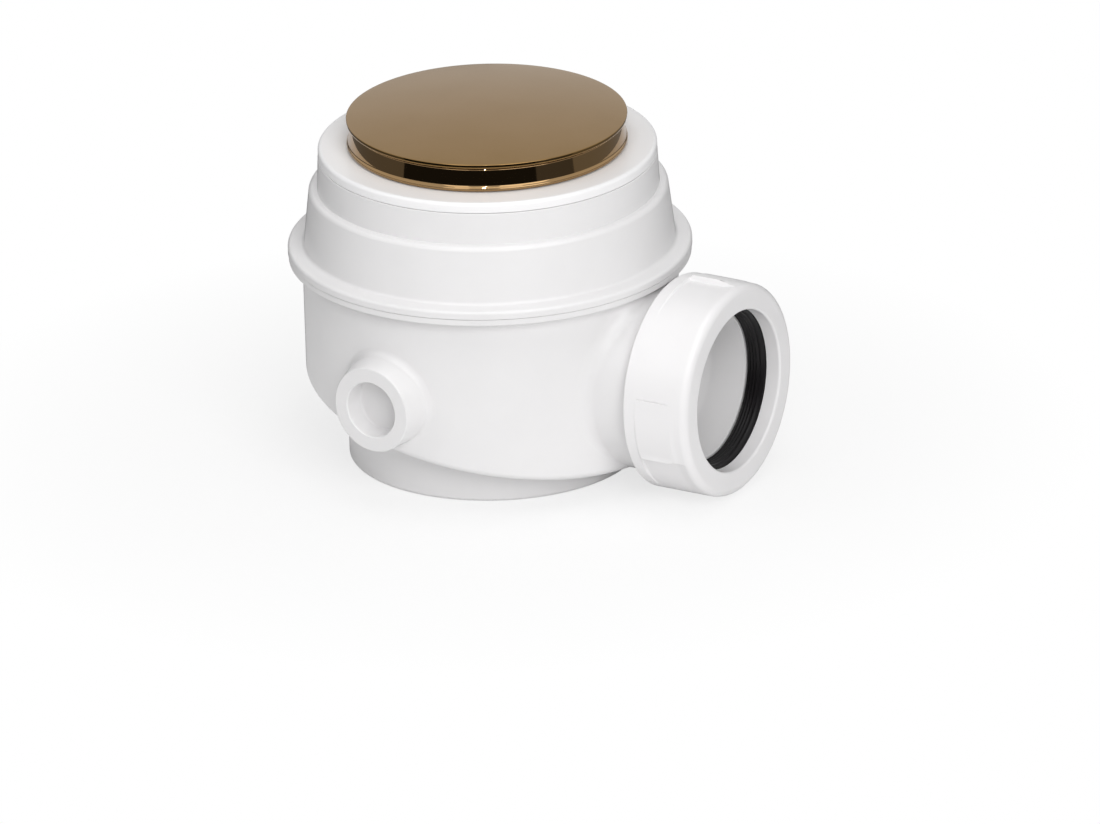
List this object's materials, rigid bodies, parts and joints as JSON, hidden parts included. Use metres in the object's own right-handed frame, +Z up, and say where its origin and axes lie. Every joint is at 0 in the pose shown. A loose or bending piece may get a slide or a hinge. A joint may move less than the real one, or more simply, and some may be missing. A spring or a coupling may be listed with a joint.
{
  "type": "bath trap",
  "caption": "White plastic bath trap with a water cup, a side outlet with a compression nut, a blind boss and a bronze click-clack waste cover.",
  "frame": {"origin": "middle of the flat foot under the water cup, on the trap's axis", "axes": "+Z up along the trap's axis to the waste cover, +X out along the pipe outlet, and the blind boss points 5 degrees past -Y, away from the outlet"},
  "size_m": [0.1295, 0.1106, 0.0976],
  "materials": {
    "white_plastic": "moulded, satin gloss",
    "washer_plastic": "soft white, satin",
    "bronze": "polished bronze plating",
    "black_rubber": "moulded black rubber",
    "brass": "turned",
    "steel": "drawn wire",
    "grey_plastic": "moulded, matt"
  },
  "bodies": {
    "trap": {"trap_body": "white_plastic", "trap_cover": "white_plastic", "inlet_tube": "white_plastic", "inlet_tube_o_ring": "black_rubber", "bath_washer": "washer_plastic", "waste_flange": "bronze", "flange_seal": "black_rubber", "cartridge_barrel": "brass", "latch_spring": "steel", "barrel_end_clip": "steel", "outlet_nut": "white_plastic", "outlet_seal": "black_rubber"},
    "plug": {"plug_cap": "bronze", "seal_carrier": "grey_plastic", "plug_seal": "black_rubber", "lock_nut": "brass", "plug_stem": "brass", "latch_rotor": "grey_plastic"}
  },
  "joints": [
    {"name": "plug_lift", "type": "slide", "parent": "trap", "child": "plug", "axis": [0, 0, 1], "range_m": [0, 0.008], "deforming": ["latch_spring"]}
  ]
}
